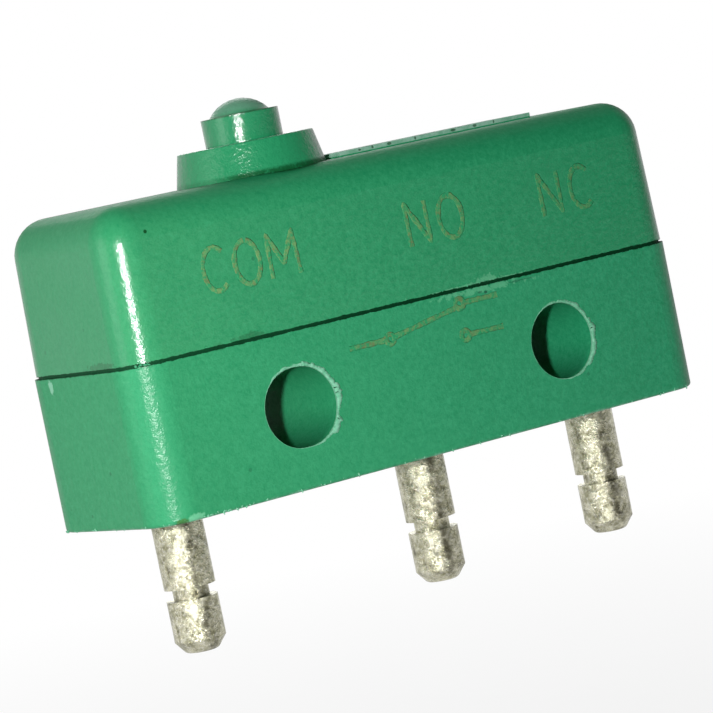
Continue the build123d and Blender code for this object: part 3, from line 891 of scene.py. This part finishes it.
def makeStrokeGrower():
    # thin uneven strokes laid flat on the moulding behind them
    tree, given, out = newGrower("laid strokes", [
        ("Strokes", geometry), ("Stroke Width", number), ("Stand Off", number), ("Surface", thing),
        ("Finish", finishKind),
    ])
    line = firstOf(tree, "GeometryNodeResampleCurve",
                   {"Curve": given["Strokes"], "Length": terminalMarks["step"] * mm}, mode="LENGTH")
    place = scaled(tree, firstOf(tree, "GeometryNodeInputPosition"), 1 / mm)
    uneven = spread(tree, noise(tree, place, 3.0, 3.0, 0.7), 0.3, 0.7,
                    terminalMarks["thinShare"], terminalMarks["thickShare"])
    uneven = times(tree, given["Stroke Width"], uneven)
    profile = firstOf(tree, "GeometryNodeCurvePrimitiveCircle",
                      {"Resolution": terminalMarks["sides"], "Radius": 1.0})
    tube = firstOf(tree, "GeometryNodeCurveToMesh",
                   {"Curve": line, "Profile Curve": profile, "Scale": uneven, "Fill Caps": True})
    behind = addNode(tree, "GeometryNodeObjectInfo", {"Object": given["Surface"]}).outputs["Geometry"]
    proximity = addNode(tree, "GeometryNodeProximity", {0: behind}, target_element="FACES")
    nearest = proximity.outputs["Position"]
    here = firstOf(tree, "GeometryNodeInputPosition")
    lifted = scaled(tree, vecCalc(tree, "SUBTRACT", here, nearest), given["Stand Off"])
    laid = vecCalc(tree, "ADD", nearest, lifted)
    tube = firstOf(tree, "GeometryNodeSetPosition", {"Geometry": tube, "Position": laid})
    return endGrower(tree, tube, given["Finish"], out)


def arc(x, z, halfX, halfZ, start, end, count=15):
    turns = [math.radians(start + (end - start) * i / (count - 1)) for i in range(count)]
    return [(x + halfX * math.cos(turn), z + halfZ * math.sin(turn)) for turn in turns]


# terminal letters as strokes in a box one unit high, with the width each one takes
letters = {
    "C": (0.86, [arc(0.38, 0.5, 0.34, 0.5, 48, 312)]),
    "O": (0.92, [arc(0.38, 0.5, 0.34, 0.5, 90, 440, 24)]),
    "M": (1.05, [[(0.05, 0.0), (0.08, 1.0), (0.43, 0.30), (0.78, 1.0), (0.83, 0.0)]]),
    "N": (0.92, [[(0.05, 0.0), (0.05, 1.0), (0.62, 0.02), (0.62, 1.0)]]),
}


def contactRing(x, z):
    return arc(x, z, 0.15, 0.15, 0, 345, 16)


# changeover contact sign in mm: a moving arm between two fixed contacts
contactSign = [
    [(0.0, 0.42), (1.3, 0.42)], contactRing(1.45, 0.42), [(1.6, 0.45), (3.9, 0.84)],
    contactRing(4.1, 0.95), [(4.25, 0.95), (5.5, 0.95)],
    contactRing(4.1, 0.0), [(4.25, 0.0), (5.5, 0.0)],
]


def strokeCurve(name, strokes, y):
    curve = bpy.data.curves.new(name, "CURVE")
    curve.dimensions = "3D"
    for points in strokes:
        spline = curve.splines.new("POLY")
        spline.points.add(len(points) - 1)
        for point, (x, z) in zip(spline.points, points):
            point.co = (x * mm, y * mm, z * mm, 1)
    return curve


def placeStrokes(strokes, left, bottom, unit=1.0):
    return [[(left + x * unit, bottom + z * unit) for x, z in points] for points in strokes]


def placeWord(word, left):
    height = terminalMarks["letterHeight"]
    strokes = []
    for letter in word:
        advance, shape = letters[letter]
        strokes += placeStrokes(shape, left, terminalMarks["letterZ"], height)
        left += advance * height
    return strokes


def layMarks(name, nodeName, strokes, y):
    growPiece(name, strokeGrower, {
        "Stroke Width": terminalMarks["strokeWidth"] * mm,
        "Stand Off": terminalMarks["standOff"],
        "Surface": frame["nodes"][nodeName],
        "Finish": fadedStamp,
    }, strokeCurve(name, strokes, y))


strokeGrower = makeStrokeGrower()
words = [placeWord(word, left) for word, left in terminalMarks["words"].items()]
setBack = terminalMarks["setBack"]
layMarks("terminalLetters", "case_cover", sum(words, []), frontY + setBack["letters"])
sign = placeStrokes(contactSign, terminalMarks["signX"], terminalMarks["signZ"])
layMarks("contactSign", "case_base", sign, frontY + setBack["sign"])


studio = {
    "floorDrop": 9.0, "floorSize": 900.0, "floorShadow": 0.15, "shadowFrom": 25, "shadowTo": 90,
    "paperDark": (0.52, 0.52, 0.52, 1), "paperPale": (0.56, 0.56, 0.56, 1),
    "ambient": 0.05, "frontGloss": 0.14, "frontFrom": -0.25, "frontTo": 0.15,
    "flash": {"at": (-54, -60, 8), "aim": (-8, -3, 2), "size": 4.0, "level": 0.31, "spread": 97},
    "side": {"at": (-150, 10, 25), "aim": (-5, 0, 0), "size": 90.0, "level": 0.165, "spread": 180},
    "back": {"at": (60, 120, 85), "aim": (0, 0, 0), "size": 90.0, "level": 0.38, "spread": 180},
}
white = (1, 1, 1, 1)


def showWhite(tree):
    # 1 for the camera, gloss and glass, which see plain white; 0 for the light on the switch
    rays = addNode(tree, "ShaderNodeLightPath").outputs
    seen = calc(tree, "MAXIMUM", rays["Is Camera Ray"], rays["Is Glossy Ray"])
    return calc(tree, "MAXIMUM", seen, rays["Is Transmission Ray"])


def mixShaders(tree, share, first, second, ending):
    mixed = firstOf(tree, "ShaderNodeMixShader", {0: share, 1: first, 2: second})
    tree.links.new(mixed, tree.nodes[ending].inputs["Surface"])


def makeWorld():
    world = bpy.data.worlds.new("softRoom")
    world.use_nodes = True
    scene.world = world
    tree = world.node_tree
    room = tree.nodes["Background"]
    fillInputs(tree, room, {"Color": white, "Strength": studio["ambient"]})
    # gloss sees the white backdrop behind the switch and a dimmer room in front of it
    outward = split(tree, addNode(tree, "ShaderNodeTexCoord").outputs["Generated"])
    dimmed = spread(tree, outward[1], studio["frontFrom"], studio["frontTo"], studio["frontGloss"], 1.0)
    glossy = addNode(tree, "ShaderNodeLightPath").outputs["Is Glossy Ray"]
    strength = minus(tree, 1.0, times(tree, glossy, minus(tree, 1.0, dimmed)))
    backdrop = firstOf(tree, "ShaderNodeBackground", {"Color": white, "Strength": strength})
    mixShaders(tree, showWhite(tree), room.outputs[0], backdrop, "World Output")


def makeFloor():
    side = studio["floorSize"] * mm / 2
    z = cadBox[0][2] - studio["floorDrop"] * mm
    mesh = bpy.data.meshes.new("paleFloor")
    corners = [(-side, -side, z), (side, -side, z), (side, side, z), (-side, side, z)]
    mesh.from_pydata(corners, [], [(0, 1, 2, 3)])
    floor = bpy.data.objects.new("paleFloor", mesh)
    scene.collection.objects.link(floor)
    material = bpy.data.materials.new("paleFloor")
    material.use_nodes = True
    tree = material.node_tree
    surface = tree.nodes["Principled BSDF"]
    place = addNode(tree, "ShaderNodeTexCoord").outputs["Object"]
    fibres = spread(tree, noise(tree, place, 400.0, 4.0, 0.6), 0.3, 0.7)
    paper = blendColour(tree, fibres, studio["paperDark"], studio["paperPale"])
    fillInputs(tree, surface, {"Base Color": paper, "Roughness": 0.9})
    # a faint shadow is left round the switch
    near = spread(tree, vecCalc(tree, "LENGTH", place), studio["shadowFrom"] * mm,
                  studio["shadowTo"] * mm, studio["floorShadow"], 0.0)
    glow = firstOf(tree, "ShaderNodeEmission", {"Color": white, "Strength": 1.0})
    share = times(tree, showWhite(tree), minus(tree, 1.0, near))
    mixShaders(tree, share, surface.outputs[0], glow, "Material Output")
    mesh.materials.append(material)


def makeLamp(name, lamp):
    place, aim = Vector(lamp["at"]) * mm, Vector(lamp["aim"]) * mm
    light = bpy.data.lights.new(name, "AREA")
    light.shape = "DISK"
    light.size = lamp["size"] * mm
    light.spread = math.radians(lamp["spread"])
    light.energy = lamp["level"] * math.pi ** 2 * (place - aim).length_squared
    holder = bpy.data.objects.new(name, light)
    scene.collection.objects.link(holder)
    holder.location = place
    holder.rotation_euler = (aim - place).to_track_quat("-Z", "Y").to_euler()


makeWorld()
makeFloor()
for lampName in ("flash", "side", "back"):
    makeLamp(lampName + "Lamp", studio[lampName])
print("floor, world and lamps placed")


viewpoint = {
    "at": (-62.213, -91.79, 7.75),
    "forward": (0.55723, 0.82797, -0.0629),
    "up": (0.20037, -0.06057, 0.97785),
    "lens": 188.59,
    "sensor": 36,
}


def makeCamera():
    forward = Vector(viewpoint["forward"]).normalized()
    right = forward.cross(Vector(viewpoint["up"])).normalized()
    up = right.cross(forward)
    camera = bpy.data.cameras.new("viewCamera")
    camera.sensor_width = viewpoint["sensor"]
    camera.lens = viewpoint["lens"]
    camera.clip_start = mm
    holder = bpy.data.objects.new("viewCamera", camera)
    scene.collection.objects.link(holder)
    turn = Matrix((right, up, -forward)).transposed()
    holder.matrix_world = Matrix.Translation(Vector(viewpoint["at"]) * mm) @ turn.to_4x4()
    scene.camera = holder


makeCamera()
scene.view_settings.view_transform = "Standard"
print("camera placed")
